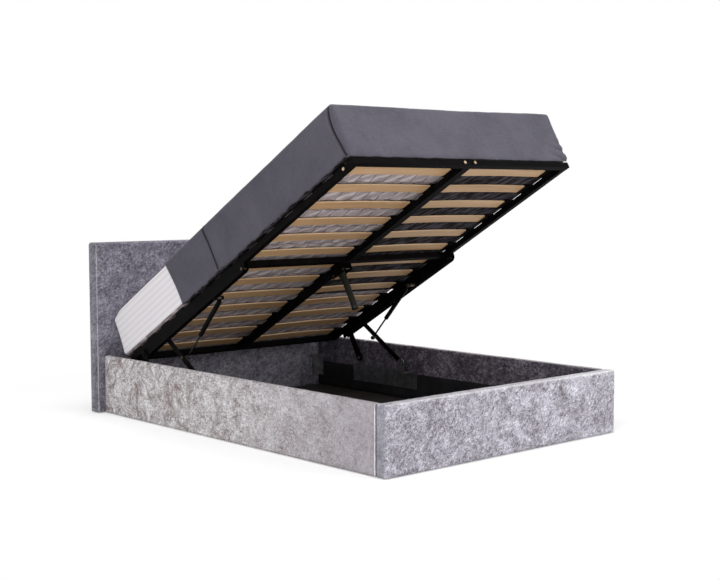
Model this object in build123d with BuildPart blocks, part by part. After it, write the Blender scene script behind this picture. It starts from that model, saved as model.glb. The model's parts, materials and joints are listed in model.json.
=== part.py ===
from build123d import *
import math
import os

# Ottoman bed with a gas-lift platform, shown open. Millimetres.
# X runs across the bed, +Y towards the headboard, +Z up, floor at zero.
# The origin is on the floor, in the middle of the whole footprint.

# Driving dimensions of the base
base_width = 1430.0
base_length = 2050.0
panel_height = 287.0
foot_thickness = 59.0
headboard_overhang = 37.0
headboard_height = 850.0
headboard_thickness = 70.0

# Panel build: a board between a padded velvet face and a thin inner skin
board_thickness = 18.0
side_pad = 14.0
foot_pad = 25.0
top_pad = 9.0
inner_skin = 3.0
velvet_turn_in = 140.0
hem_height = 4.0
edge_round = 10.0
headboard_pad = 22.0
headboard_wrap = 12.0
headboard_round = 14.0
back_cloth_thickness = 2.0
back_cloth_margin = 8.0

# Storage floor and corner brackets
floor_board_thickness = 4.0
floor_board_count = 3
board_gap = 0.3
bracket_leg = 45.0
bracket_sheet = 3.0
bracket_low = 60.0
bracket_height = 120.0
screw_radius = 3.0
screw_clearance = 0.2
screw_head_radius = 7.0
screw_head_height = 4.0
screw_grip = 12.0
screw_inset = 25.0

# Platform frame, measured along the platform from its foot edge and down
# from the top of the rails
lift_angle = 29.6
frame_side_gap = 20.0
frame_head_gap = 40.0
rail_width = 28.0
rail_depth = 27.0
tube_wall = 1.5
cross_bar_setback = 1015.0
cross_bar_width = 25.0
cross_bar_depth = 27.0
centre_rail_width = 40.0
lift_bar_length = 948.0
lift_bar_tail = 105.0
lift_bar_depth = 34.0
lift_bar_wall = 2.5
lift_bar_round = 28.0
end_cap_flange = 2.0
end_cap_plug = 15.0
end_cap_clearance = 0.1

# Bowed slats in plastic holders, two in each row
slat_rows = 13
slat_width = 58.0
slat_thickness = 7.0
slat_bow = 5.0
slat_edge_round = 2.0
first_slat_along = 112.0
last_slat_from_head = 60.0
slat_clearance = 0.3
holder_length = 66.0
holder_floor = 1.5
holder_roof = 1.5
holder_play = 1.9
holder_seat = 0.2
holder_inset = 4.0
holder_end_wall = 4.0
side_holder_width = 60.0
centre_holder_width = 62.0

# Mattress and its tucked bedspread
mattress_side_gap = 7.5
mattress_foot_gap = 9.0
mattress_head_gap = 47.0
mattress_height = 226.0
mattress_crown = 8.0
mattress_end_crown = 3.0
mattress_draw_in = 4.0
mattress_foot_round = 28.0
mattress_head_round = 45.0
mattress_top_round = 24.0
mattress_bottom_round = 18.0
cloth_thickness = 1.5
soft_clearance = 0.3
cover_top_setback = 566.0
cover_bottom_setback = 602.0
cover_near_tuck = 34.0
cover_far_tuck = 652.0
cover_foot_tuck = 60.0

# Shares of the end rounding that the mattress edges take, the steps of that
# rounding, and the crown at shares of the length between the rounded ends
under_round_share = 0.4
foot_top_share = 0.5
head_top_share = 1.0
end_round_steps = 4
crown_shares = ((0.25, 0.8), (0.5, 1.0), (0.75, 0.8))

# Lift linkage: a long arm and a short rear link on each side
arm_length = 366.8
arm_open_angle = 32.16
arm_pin_setback = 438.48
arm_pin_height = 395.242
arm_pin_to_frame_head = 295.0
arm_pin_drop = 50.0
arm_width = 25.0
arm_thickness = 5.0
arm_gap = 6.0
rear_pivot_setback = 367.4
rear_pivot_height = 190.7
rear_pin_to_frame_head = 130.0
rear_pin_drop = 41.0
rear_link_width = 36.0
rear_link_thickness = 5.0
rear_link_gap = 5.0
rear_pin_clearance = 6.4
pin_radius = 5.0
pin_clearance = 0.05
pin_head_radius = 9.0
pin_head_height = 3.0
side_clearance = 0.3
retainer_radius = 15.0
retainer_gap = 1.0

# Base plates that carry the linkage
plate_sheet = 4.0
plate_low = 60.0
plate_high = 150.0
plate_end_margin = 60.0
plate_screw_count = 4
ear_radius = 24.0
ear_gap = 4.0

# Gas struts
strut_offset = 29.0
strut_pin_to_frame_head = 745.0
strut_pin_drop = 50.0
strut_arm_share = 0.62
strut_radius = 11.0
strut_body_length = 252.0
strut_neck_length = 22.0
strut_neck_radius = 5.2
strut_end_round = 2.0
strut_bore_start = 40.0
rod_radius = 4.5
rod_clearance = 0.08
rod_hidden_length = 45.0
strut_eye_radius = 10.0
strut_eye_width = 12.0

# Centre leg under the platform
leg_setback = 929.0
leg_radius = 15.0
leg_wall = 2.0
leg_floor_gap = 0.5
closed_rail_height = 240.0
leg_foot_radius = 17.0
leg_foot_height = 14.0
leg_plug_length = 20.0
leg_plug_clearance = 0.3
leg_bracket_length = 104.0
leg_bracket_sheet = 3.0
leg_bracket_rise = 20.0
leg_bracket_skirt = 26.0
leg_bolt_spread = 78.0
leg_bolt_drop = 43.0

# Hexagon bolts of the frame
bolt_radius = 4.0
bolt_clearance = 0.1
bolt_head_radius = 7.5
bolt_head_height = 4.0
bolt_grip = 20.0
foot_bolt_spread = 62.0
corner_bolt_along = 68.0
lift_bolt_inset = 22.0
lift_bolt_drop = 46.0

# One overrun serves every cut that runs past a face
overrun = 20.0

# Places in the base, worked out from the driving dimensions
total_length = base_length + headboard_thickness
foot_face = -total_length / 2
foot_back = foot_face + foot_thickness
headboard_face = foot_face + base_length
back_face = foot_face + total_length
cloth_face = back_face - back_cloth_thickness
outer_half = base_width / 2
board_out = outer_half - side_pad
board_in = board_out - board_thickness
inner_half = board_in - inner_skin
board_top = panel_height - top_pad
foot_board_front = foot_face + foot_pad
foot_board_back = foot_back - inner_skin
headboard_half = outer_half + headboard_overhang
core_half = headboard_half - headboard_wrap
core_face = headboard_face + headboard_pad
core_top = headboard_height - headboard_wrap

# Places on the platform
mattress_length = base_length - foot_thickness - mattress_foot_gap - mattress_head_gap
frame_length = mattress_length - frame_head_gap
frame_half = inner_half - frame_side_gap
rail_inner = frame_half - rail_width
head_rail_start = frame_length - rail_width
cross_bar_along = frame_length - cross_bar_setback
cross_bar_end = cross_bar_along + cross_bar_width
lift_bar_end = frame_length - lift_bar_tail
lift_bar_start = lift_bar_end - lift_bar_length
leg_along = frame_length - leg_setback
lift_bar_low = rail_depth + lift_bar_depth
slat_seat = holder_floor + holder_seat
holder_height = slat_seat + slat_thickness + holder_play + holder_roof
crown_top = slat_seat + slat_bow + slat_thickness
mattress_base = crown_top + 2 * soft_clearance + cloth_thickness
mattress_top = mattress_base + mattress_height
mattress_half = inner_half - mattress_side_gap
last_slat_along = frame_length - last_slat_from_head
slat_pitch = (last_slat_along - first_slat_along) / (slat_rows - 1)
slat_alongs = [first_slat_along + i * slat_pitch for i in range(slat_rows)]
side_holder_outer = frame_half - holder_inset
side_holder_inner = side_holder_outer - side_holder_width
centre_holder_half = centre_holder_width / 2
pocket_half = slat_width / 2 + slat_clearance
slat_outer_end = side_holder_outer - holder_end_wall - slat_clearance
slat_inner_end = holder_end_wall + slat_clearance
leg_end_drop = closed_rail_height - floor_board_thickness - leg_floor_gap

# Planes across the bed in which the linkage works, as distances from the middle
arm_outer = rail_inner - arm_gap
arm_inner = arm_outer - arm_thickness
ear_outer = arm_inner - ear_gap
ear_inner = ear_outer - plate_sheet
rear_link_inner = frame_half + rear_link_gap
rear_link_outer = rear_link_inner + rear_link_thickness
plate_inner = inner_half - plate_sheet
strut_axis = arm_inner - strut_offset
eye_inner = strut_axis - strut_eye_width / 2
eye_outer = strut_axis + strut_eye_width / 2

# The base pivots and the open arm in side view, as (y, z)
lift = math.radians(lift_angle)
arm_turn = math.radians(arm_open_angle)
arm_pin = (headboard_face - arm_pin_setback, arm_pin_height)
rear_pivot = (headboard_face - rear_pivot_setback, rear_pivot_height)
arm_pivot = (
    arm_pin[0] - arm_length * math.cos(arm_turn),
    arm_pin[1] - arm_length * math.sin(arm_turn),
)
strut_foot = (
    arm_pivot[0] + strut_arm_share * arm_length * math.cos(arm_turn),
    arm_pivot[1] + strut_arm_share * arm_length * math.sin(arm_turn),
)

# Pins of the platform, as (distance along, distance down)
arm_pin_local = (frame_length - arm_pin_to_frame_head, arm_pin_drop)
rear_pin_local = (frame_length - rear_pin_to_frame_head, rear_pin_drop)
strut_pin_local = (frame_length - strut_pin_to_frame_head, strut_pin_drop)

# The platform hangs on the arm pins, tilted by the lift angle
platform_y = arm_pin[0] - arm_pin_local[0] * math.cos(lift) + arm_pin_local[1] * math.sin(lift)
platform_z = arm_pin[1] + arm_pin_local[0] * math.sin(lift) + arm_pin_local[1] * math.cos(lift)
to_foot = (0, -math.cos(lift), math.sin(lift))
to_head = (0, math.cos(lift), -math.sin(lift))
off_platform = (0, math.sin(lift), math.cos(lift))


def platform_point(x, along, drop):
    """A point of the platform in the bed's own frame."""
    y = platform_y + along * math.cos(lift) - drop * math.sin(lift)
    z = platform_z - along * math.sin(lift) - drop * math.cos(lift)
    return (x, y, z)


def side_plane(x):
    """A plane across X, with local x along Y and local y up."""
    return Plane(origin=(x, 0, 0), x_dir=(0, 1, 0), z_dir=(1, 0, 0))


def platform_side_plane(x):
    """A plane across X, with local x along the platform and local y up from it."""
    return Plane(origin=platform_point(x, 0, 0), x_dir=to_head, z_dir=(1, 0, 0))


def platform_cross_plane(along):
    """A plane across the platform's length: local x across, local y up, facing the foot."""
    return Plane(origin=platform_point(0, along, 0), x_dir=(1, 0, 0), z_dir=to_foot)


def block(low, high, mode=Mode.ADD):
    """A box between two opposite corners."""
    size = [abs(b - a) for a, b in zip(low, high)]
    centre = [(a + b) / 2 for a, b in zip(low, high)]
    with Locations(tuple(centre)):
        Box(*size, mode=mode)


def bar_x(start, end, y, z, radius, mode=Mode.ADD):
    """A round bar along local x."""
    with Locations(Location(((start + end) / 2, y, z), (0, 90, 0))):
        Cylinder(radius, abs(end - start), mode=mode)


def bar_y(start, end, x, z, radius, mode=Mode.ADD):
    """A round bar along local y."""
    with Locations(Location((x, (start + end) / 2, z), (90, 0, 0))):
        Cylinder(radius, abs(end - start), mode=mode)


def bar_z(start, end, x, y, radius, mode=Mode.ADD):
    """A round bar along local z."""
    with Locations((x, y, (start + end) / 2)):
        Cylinder(radius, abs(end - start), mode=mode)


def square_tube(low, high, run):
    """A square tube open at both ends, along local axis 0 or 1."""
    block(low, high)
    inner_low = [value + tube_wall for value in low]
    inner_high = [value - tube_wall for value in high]
    inner_low[run] = low[run] - overrun
    inner_high[run] = high[run] + overrun
    block(inner_low, inner_high, mode=Mode.SUBTRACT)


def hex_bolt(point, outward, grip):
    """A hexagon bolt whose head stands out from a face at the point."""
    seat = Plane(origin=point, z_dir=outward)
    with BuildSketch(seat) as head:
        RegularPolygon(bolt_head_radius, side_count=6)
    extrude(head.sketch, amount=bolt_head_height)
    with BuildSketch(seat) as shank:
        Circle(bolt_radius)
    extrude(shank.sketch, amount=-grip)


os.makedirs("parts", exist_ok=True)

platform = Plane(origin=platform_point(0, 0, 0), x_dir=(1, 0, 0), z_dir=off_platform)
sides = ((-1, "left"), (1, "right"))
corners = ((1, foot_back), (-1, headboard_face))
screw_hole = screw_radius + screw_clearance
bolt_hole = bolt_radius + bolt_clearance
pin_hole = pin_radius + pin_clearance

# Where the screws of the corner brackets and base plates go into the boards
bracket_high = bracket_low + bracket_height
bracket_screw_heights = (bracket_low + screw_inset, bracket_high - screw_inset)
bracket_screws = [
    (corner + turn * screw_inset, height)
    for turn, corner in corners
    for height in bracket_screw_heights
]
plate_start = arm_pivot[0] - plate_end_margin
plate_end = rear_pivot[0] + plate_end_margin
plate_screw_pitch = (plate_end - plate_start - 2 * screw_inset) / (plate_screw_count - 1)
plate_screw_height = (plate_low + plate_high) / 2
plate_screws = [
    (plate_start + screw_inset + i * plate_screw_pitch, plate_screw_height)
    for i in range(plate_screw_count)
]
end_screw_half = inner_half - screw_inset


# Headboard: a board core, velvet padding over front, sides and top, cloth on the back
with BuildPart() as headboard_core:
    block((-core_half, core_face, 0), (core_half, cloth_face, core_top))
    for side, tag in sides:
        for height in bracket_screw_heights:
            x = side * end_screw_half
            bar_y(core_face - overrun, core_face + screw_grip, x, height, screw_hole, Mode.SUBTRACT)
headboard_core.part.label = "headboard_core"
export_step(headboard_core.part, "parts/headboard_core.step")

with BuildPart() as headboard_cover:
    block((-headboard_half, headboard_face, hem_height), (headboard_half, cloth_face, headboard_height))
    front_edges = headboard_cover.faces().sort_by(Axis.Y)[0].edges().sort_by(Axis.Z)[1:]
    top_ends = headboard_cover.edges().filter_by(Axis.Y).group_by(Axis.Z)[-1]
    fillet(front_edges + top_ends, headboard_round)
    block(
        (-core_half, core_face, hem_height - overrun),
        (core_half, cloth_face + overrun, core_top),
        mode=Mode.SUBTRACT,
    )
    for side, tag in sides:
        for height in bracket_screw_heights:
            x = side * end_screw_half
            bar_y(headboard_face - overrun, core_face + overrun, x, height, screw_hole, Mode.SUBTRACT)
headboard_cover.part.label = "headboard_cover"
export_step(headboard_cover.part, "parts/headboard_cover.step")

with BuildPart() as headboard_back_cloth:
    cloth_half = headboard_half - back_cloth_margin
    cloth_top = headboard_height - back_cloth_margin
    block((-cloth_half, cloth_face, back_cloth_margin), (cloth_half, back_face, cloth_top))
headboard_back_cloth.part.label = "headboard_back_cloth"
export_step(headboard_back_cloth.part, "parts/headboard_back_cloth.step")


# Foot panel: a board core under a thick velvet pad that also wraps its ends
with BuildPart() as foot_board:
    block((-board_out, foot_board_front, 0), (board_out, foot_board_back, board_top))
    for side, tag in sides:
        for height in bracket_screw_heights:
            x = side * end_screw_half
            depth = foot_board_back - screw_grip
            bar_y(foot_board_back + overrun, depth, x, height, screw_hole, Mode.SUBTRACT)
foot_board.part.label = "foot_board"
export_step(foot_board.part, "parts/foot_board.step")

with BuildPart() as foot_cover:
    block((-outer_half, foot_face, hem_height), (outer_half, foot_back, panel_height))
    top_edges = foot_cover.faces().sort_by(Axis.Z)[-1].edges()
    front_corners = foot_cover.edges().filter_by(Axis.Z).group_by(Axis.Y)[0]
    fillet(top_edges + front_corners, edge_round)
    block(
        (-board_out, foot_board_front, hem_height - overrun),
        (board_out, foot_board_back, board_top),
        mode=Mode.SUBTRACT,
    )
    block(
        (-inner_half, foot_board_back, hem_height - overrun),
        (inner_half, foot_back + overrun, velvet_turn_in),
        mode=Mode.SUBTRACT,
    )
    for side, tag in sides:
        for height in bracket_screw_heights:
            x = side * end_screw_half
            start = foot_board_back - inner_skin
            bar_y(start, foot_back + overrun, x, height, screw_hole, Mode.SUBTRACT)
foot_cover.part.label = "foot_cover"
export_step(foot_cover.part, "parts/foot_cover.step")


# Side panels: board cores, and velvet pads turned over the top and down inside
for side, tag in sides:
    with BuildPart() as side_board:
        block((side * board_in, foot_back, 0), (side * board_out, headboard_face, board_top))
        for y, height in bracket_screws + plate_screws:
            start = side * (board_in - overrun)
            bar_x(start, side * (board_in + screw_grip), y, height, screw_hole, Mode.SUBTRACT)
    side_board.part.label = f"side_board_{tag}"
    export_step(side_board.part, f"parts/side_board_{tag}.step")

    with BuildPart() as side_cover:
        block(
            (side * inner_half, foot_back, hem_height),
            (side * outer_half, headboard_face, panel_height),
        )
        fillet(side_cover.edges().filter_by(Axis.Y).group_by(Axis.Z)[-1], edge_round)
        block(
            (side * board_in, foot_back - overrun, hem_height - overrun),
            (side * board_out, headboard_face + overrun, board_top),
            mode=Mode.SUBTRACT,
        )
        block(
            (side * (inner_half - overrun), foot_back - overrun, hem_height - overrun),
            (side * board_in, headboard_face + overrun, velvet_turn_in),
            mode=Mode.SUBTRACT,
        )
        for y, height in bracket_screws:
            start = side * (inner_half - overrun)
            bar_x(start, side * board_in, y, height, screw_hole, Mode.SUBTRACT)
    side_cover.part.label = f"side_cover_{tag}"
    export_step(side_cover.part, f"parts/side_cover_{tag}.step")


# Dark lining below the velvet's turned-in edge, inside the sides and the foot
with BuildPart() as storage_lining:
    for side, tag in sides:
        block(
            (side * inner_half, foot_back, floor_board_thickness),
            (side * board_in, headboard_face, velvet_turn_in),
        )
        for y, height in bracket_screws + plate_screws:
            start = side * (inner_half - overrun)
            bar_x(start, side * (board_in + overrun), y, height, screw_hole, Mode.SUBTRACT)
    lining_half = inner_half - board_gap
    block(
        (-lining_half, foot_board_back, floor_board_thickness),
        (lining_half, foot_back, velvet_turn_in),
    )
    for side, tag in sides:
        x = side * end_screw_half
        height = bracket_screw_heights[0]
        bar_y(foot_board_back - overrun, foot_back + overrun, x, height, screw_hole, Mode.SUBTRACT)
storage_lining.part.label = "storage_lining"
export_step(storage_lining.part, "parts/storage_lining.step")


# Thin boards of the storage floor, side by side on the room floor
with BuildPart() as floor_boards:
    floor_start = foot_board_back + board_gap
    floor_run = headboard_face - floor_start
    board_run = floor_run / floor_board_count - board_gap
    board_half = board_in - board_gap
    for i in range(floor_board_count):
        start = floor_start + i * (board_run + board_gap)
        block((-board_half, start, 0), (board_half, start + board_run, floor_board_thickness))
floor_boards.part.label = "floor_boards"
export_step(floor_boards.part, "parts/floor_boards.step")


# Steel angles in the four corners
with BuildPart() as corner_brackets:
    for side, tag in sides:
        for turn, corner in corners:
            block(
                (side * (inner_half - bracket_sheet), corner, bracket_low),
                (side * inner_half, corner + turn * bracket_leg, bracket_high),
            )
            block(
                (side * (inner_half - bracket_leg), corner, bracket_low),
                (side * inner_half, corner + turn * bracket_sheet, bracket_high),
            )
            for height in bracket_screw_heights:
                x = side * (inner_half - bracket_sheet / 2)
                y = corner + turn * screw_inset
                bar_x(x - overrun / 2, x + overrun / 2, y, height, screw_hole, Mode.SUBTRACT)
                x = side * end_screw_half
                y = corner + turn * bracket_sheet / 2
                bar_y(y - overrun / 2, y + overrun / 2, x, height, screw_hole, Mode.SUBTRACT)
corner_brackets.part.label = "corner_brackets"
export_step(corner_brackets.part, "parts/corner_brackets.step")


# Screws of the corner brackets and of the base plates
with BuildPart() as base_screws:
    for side, tag in sides:
        tip = side * (board_in + screw_grip)
        for y, height in bracket_screws:
            seat = side * (inner_half - bracket_sheet)
            bar_x(seat - side * screw_head_height, seat, y, height, screw_head_radius)
            bar_x(seat, tip, y, height, screw_radius)
        for y, height in plate_screws:
            seat = side * plate_inner
            bar_x(seat - side * screw_head_height, seat, y, height, screw_head_radius)
            bar_x(seat, tip, y, height, screw_radius)
        x = side * end_screw_half
        for height in bracket_screw_heights:
            seat = foot_back + bracket_sheet
            bar_y(seat, seat + screw_head_height, x, height, screw_head_radius)
            bar_y(foot_board_back - screw_grip, seat, x, height, screw_radius)
            seat = headboard_face - bracket_sheet
            bar_y(seat - screw_head_height, seat, x, height, screw_head_radius)
            bar_y(seat, core_face + screw_grip, x, height, screw_radius)
base_screws.part.label = "base_screws"
export_step(base_screws.part, "parts/base_screws.step")


# Base plates: a plate on each side panel, with a shelf and an ear for the long arm
# and a raised lug for the rear link
shelf_low = plate_high - plate_sheet
for side, tag in sides:
    with BuildPart() as base_plate:
        block((side * plate_inner, plate_start, plate_low), (side * inner_half, plate_end, plate_high))
        block(
            (side * ear_inner, arm_pivot[0] - ear_radius, shelf_low),
            (side * plate_inner, arm_pivot[0] + ear_radius, plate_high),
        )
        with BuildSketch(side_plane(side * (ear_inner + ear_outer) / 2)):
            with Locations((arm_pivot[0], (shelf_low + arm_pivot[1]) / 2)):
                Rectangle(2 * ear_radius, arm_pivot[1] - shelf_low)
            with Locations(arm_pivot):
                Circle(ear_radius)
        extrude(amount=plate_sheet / 2, both=True)
        with BuildSketch(side_plane(side * (plate_inner + inner_half) / 2)):
            with Locations((rear_pivot[0], (shelf_low + rear_pivot[1]) / 2)):
                Rectangle(2 * ear_radius, rear_pivot[1] - shelf_low)
            with Locations(rear_pivot):
                Circle(ear_radius)
        extrude(amount=plate_sheet / 2, both=True)
        bar_x(side * (ear_inner - overrun), side * arm_outer, *arm_pivot, pin_hole, Mode.SUBTRACT)
        start = side * (plate_inner - overrun)
        end = side * (inner_half + overrun)
        bar_x(start, end, *rear_pivot, pin_hole, Mode.SUBTRACT)
        for y, height in plate_screws:
            bar_x(start, end, y, height, screw_hole, Mode.SUBTRACT)
    base_plate.part.label = f"base_plate_{tag}"
    export_step(base_plate.part, f"parts/base_plate_{tag}.step")


# Pins of the base plates, each with a head and a spacer beside what it carries
with BuildPart() as base_pivot_pins:
    for side, tag in sides:
        rivet = arm_outer + side_clearance
        bar_x(side * (ear_inner - pin_head_height), side * ear_inner, *arm_pivot, pin_head_radius)
        bar_x(side * ear_inner, side * rivet, *arm_pivot, pin_radius)
        bar_x(side * ear_outer, side * (arm_inner - side_clearance), *arm_pivot, pin_head_radius)
        bar_x(side * rivet, side * (rivet + pin_head_height), *arm_pivot, pin_head_radius)
        head = rear_link_inner - side_clearance
        spacer = rear_link_outer + side_clearance
        bar_x(side * (head - pin_head_height), side * head, *rear_pivot, pin_head_radius)
        bar_x(side * head, side * inner_half, *rear_pivot, pin_radius)
        bar_x(side * spacer, side * plate_inner, *rear_pivot, pin_head_radius)
base_pivot_pins.part.label = "base_pivot_pins"
export_step(base_pivot_pins.part, "parts/base_pivot_pins.step")


# Long lift arms, from the base plates to the lift bars
for side, tag in sides:
    with BuildPart() as lift_arm:
        with BuildSketch(side_plane(side * (arm_inner + arm_outer) / 2)):
            with Locations(((arm_pivot[0] + arm_pin[0]) / 2, (arm_pivot[1] + arm_pin[1]) / 2)):
                SlotCenterToCenter(arm_length, arm_width, rotation=arm_open_angle)
            with Locations(arm_pivot, arm_pin, strut_foot):
                Circle(pin_hole, mode=Mode.SUBTRACT)
        extrude(amount=arm_thickness / 2, both=True)
    lift_arm.part.label = f"lift_arm_{tag}"
    export_step(lift_arm.part, f"parts/lift_arm_{tag}.step")

# Bolts in the arms where the struts' lower ends sit
with BuildPart() as arm_stud_bolts:
    for side, tag in sides:
        nut = arm_outer + bolt_head_height
        bar_x(side * arm_inner, side * arm_outer, *strut_foot, pin_radius)
        bar_x(side * arm_outer, side * nut, *strut_foot, bolt_head_radius)
arm_stud_bolts.part.label = "arm_stud_bolts"
export_step(arm_stud_bolts.part, "parts/arm_stud_bolts.step")


# Short rear links; the hole at the platform end is wide, as this pivot is left open
rear_pin = platform_point(0, *rear_pin_local)[1:]
rear_run = (rear_pin[0] - rear_pivot[0], rear_pin[1] - rear_pivot[1])
rear_link_length = math.hypot(*rear_run)
rear_link_angle = math.degrees(math.atan2(rear_run[1], rear_run[0]))
for side, tag in sides:
    with BuildPart() as rear_link:
        with BuildSketch(side_plane(side * (rear_link_inner + rear_link_outer) / 2)):
            with Locations(((rear_pivot[0] + rear_pin[0]) / 2, (rear_pivot[1] + rear_pin[1]) / 2)):
                SlotCenterToCenter(rear_link_length, rear_link_width, rotation=rear_link_angle)
            with Locations(rear_pivot):
                Circle(pin_hole, mode=Mode.SUBTRACT)
            with Locations(rear_pin):
                Circle(pin_radius + rear_pin_clearance, mode=Mode.SUBTRACT)
        extrude(amount=rear_link_thickness / 2, both=True)
    rear_link.part.label = f"rear_link_{tag}"
    export_step(rear_link.part, f"parts/rear_link_{tag}.step")


# Gas struts: a cylinder on the platform's stud, and a rod that ends in an eye whose
# stud stops just short of the arm
strut_top = platform_point(0, *strut_pin_local)[1:]
strut_run = (strut_foot[0] - strut_top[0], strut_foot[1] - strut_top[1])
strut_length = math.hypot(*strut_run)
eye_half = strut_eye_width / 2
for side, tag in sides:
    strut_plane = Plane(
        origin=(side * strut_axis, strut_top[0], strut_top[1]),
        x_dir=(1, 0, 0),
        z_dir=(0, strut_run[0], strut_run[1]),
    )
    with BuildPart(strut_plane) as strut_cylinder:
        bar_z(strut_neck_length, strut_body_length, 0, 0, strut_radius)
        fillet(strut_cylinder.edges().filter_by(GeomType.CIRCLE), strut_end_round)
        bar_z(0, strut_neck_length, 0, 0, strut_neck_radius)
        bar_x(-eye_half, eye_half, 0, 0, strut_eye_radius)
        bar_x(-strut_eye_width, strut_eye_width, 0, 0, pin_hole, Mode.SUBTRACT)
        bore_end = strut_body_length + overrun
        bar_z(strut_bore_start, bore_end, 0, 0, rod_radius + rod_clearance, Mode.SUBTRACT)
    strut_cylinder.part.label = f"strut_cylinder_{tag}"
    export_step(strut_cylinder.part, f"parts/strut_cylinder_{tag}.step")

    with BuildPart(strut_plane) as strut_rod:
        bar_z(strut_body_length - rod_hidden_length, strut_length, 0, 0, rod_radius)
        bar_x(-eye_half, eye_half, 0, strut_length, strut_eye_radius)
        bar_x(0, side * (strut_offset - side_clearance), 0, strut_length, pin_radius)
    strut_rod.part.label = f"strut_rod_{tag}"
    export_step(strut_rod.part, f"parts/strut_rod_{tag}.step")


# Platform frame: side rails between a foot rail and a head rail
for side, tag in sides:
    with BuildPart(platform) as side_rail:
        low_x, high_x = sorted((side * rail_inner, side * frame_half))
        square_tube((low_x, rail_width, -rail_depth), (high_x, head_rail_start, 0), 1)
        start = side * (frame_half - bolt_grip / 2)
        end = side * (frame_half + overrun)
        bar_x(start, end, corner_bolt_along, -rail_depth / 2, bolt_hole, Mode.SUBTRACT)
    side_rail.part.label = f"side_rail_{tag}"
    export_step(side_rail.part, f"parts/side_rail_{tag}.step")

with BuildPart(platform) as foot_rail:
    square_tube((-frame_half, 0, -rail_depth), (frame_half, rail_width, 0), 0)
    for side, tag in sides:
        x = side * foot_bolt_spread / 2
        bar_y(-overrun, rail_width / 2, x, -rail_depth / 2, bolt_hole, Mode.SUBTRACT)
foot_rail.part.label = "foot_rail"
export_step(foot_rail.part, "parts/foot_rail.step")

with BuildPart(platform) as head_rail:
    square_tube((-frame_half, head_rail_start, -rail_depth), (frame_half, frame_length, 0), 0)
head_rail.part.label = "head_rail"
export_step(head_rail.part, "parts/head_rail.step")

with BuildPart(platform) as tube_end_caps:
    plug_inset = tube_wall + end_cap_clearance
    for side, tag in sides:
        for start in (0, head_rail_start):
            block(
                (side * frame_half, start, -rail_depth),
                (side * (frame_half + end_cap_flange), start + rail_width, 0),
            )
            block(
                (side * (frame_half - end_cap_plug), start + plug_inset, plug_inset - rail_depth),
                (side * frame_half, start + rail_width - plug_inset, -plug_inset),
            )
tube_end_caps.part.label = "tube_end_caps"
export_step(tube_end_caps.part, "parts/tube_end_caps.step")


# Cross bar between the lift bars, and the centre rail in two lengths
with BuildPart(platform) as cross_bar:
    square_tube((-rail_inner, cross_bar_along, -cross_bar_depth), (rail_inner, cross_bar_end, 0), 0)
cross_bar.part.label = "cross_bar"
export_step(cross_bar.part, "parts/cross_bar.step")

centre_half = centre_rail_width / 2
with BuildPart(platform) as centre_rail_foot:
    square_tube((-centre_half, rail_width, -rail_depth), (centre_half, cross_bar_along, 0), 1)
centre_rail_foot.part.label = "centre_rail_foot"
export_step(centre_rail_foot.part, "parts/centre_rail_foot.step")

with BuildPart(platform) as centre_rail_head:
    square_tube((-centre_half, cross_bar_end, -rail_depth), (centre_half, head_rail_start, 0), 1)
centre_rail_head.part.label = "centre_rail_head"
export_step(centre_rail_head.part, "parts/centre_rail_head.step")


# Lift bars: deep channels under the side rails, open below, with a rounded front corner
lift_bolt_along = lift_bar_start + lift_bolt_inset
for side, tag in sides:
    with BuildPart(platform) as lift_bar:
        with BuildSketch(platform_side_plane(side * (rail_inner + frame_half) / 2)):
            with BuildLine():
                Polyline(
                    (lift_bar_start, lift_bar_round - lift_bar_low),
                    (lift_bar_start, -rail_depth),
                    (lift_bar_end, -rail_depth),
                    (lift_bar_end, -lift_bar_low),
                    (lift_bar_start + lift_bar_round, -lift_bar_low),
                )
                RadiusArc(
                    (lift_bar_start + lift_bar_round, -lift_bar_low),
                    (lift_bar_start, lift_bar_round - lift_bar_low),
                    lift_bar_round,
                )
            make_face()
        extrude(amount=rail_width / 2, both=True)
        block(
            (side * (rail_inner + lift_bar_wall), lift_bar_start - overrun, -lift_bar_low - overrun),
            (side * (frame_half - lift_bar_wall), lift_bar_end + overrun, -rail_depth - lift_bar_wall),
            mode=Mode.SUBTRACT,
        )
        start = side * (rail_inner - overrun)
        end = side * (frame_half + overrun)
        for along, drop in (arm_pin_local, rear_pin_local):
            bar_x(start, end, along, -drop, pin_hole, Mode.SUBTRACT)
        bar_x(start, end, lift_bolt_along, -lift_bolt_drop, bolt_hole, Mode.SUBTRACT)
        middle = side * (rail_inner + frame_half) / 2
        bar_x(start, middle, strut_pin_local[0], -strut_pin_local[1], pin_hole, Mode.SUBTRACT)
    lift_bar.part.label = f"lift_bar_{tag}"
    export_step(lift_bar.part, f"parts/lift_bar_{tag}.step")


# Pivot bolts through the lift bars, for the arms and for the rear links
with BuildPart(platform) as platform_pivot_bolts:
    for side, tag in sides:
        head = arm_inner - side_clearance
        along, drop = arm_pin_local
        bar_x(side * (head - pin_head_height), side * head, along, -drop, pin_head_radius)
        bar_x(side * head, side * frame_half, along, -drop, pin_radius)
        bar_x(side * (arm_outer + side_clearance), side * rail_inner, along, -drop, pin_head_radius)
        along, drop = rear_pin_local
        retainer = rear_link_outer + retainer_gap
        bar_x(side * (rail_inner - pin_head_height), side * rail_inner, along, -drop, pin_head_radius)
        bar_x(side * rail_inner, side * retainer, along, -drop, pin_radius)
        bar_x(side * retainer, side * (retainer + pin_head_height), along, -drop, retainer_radius)
platform_pivot_bolts.part.label = "platform_pivot_bolts"
export_step(platform_pivot_bolts.part, "parts/platform_pivot_bolts.step")


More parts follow.
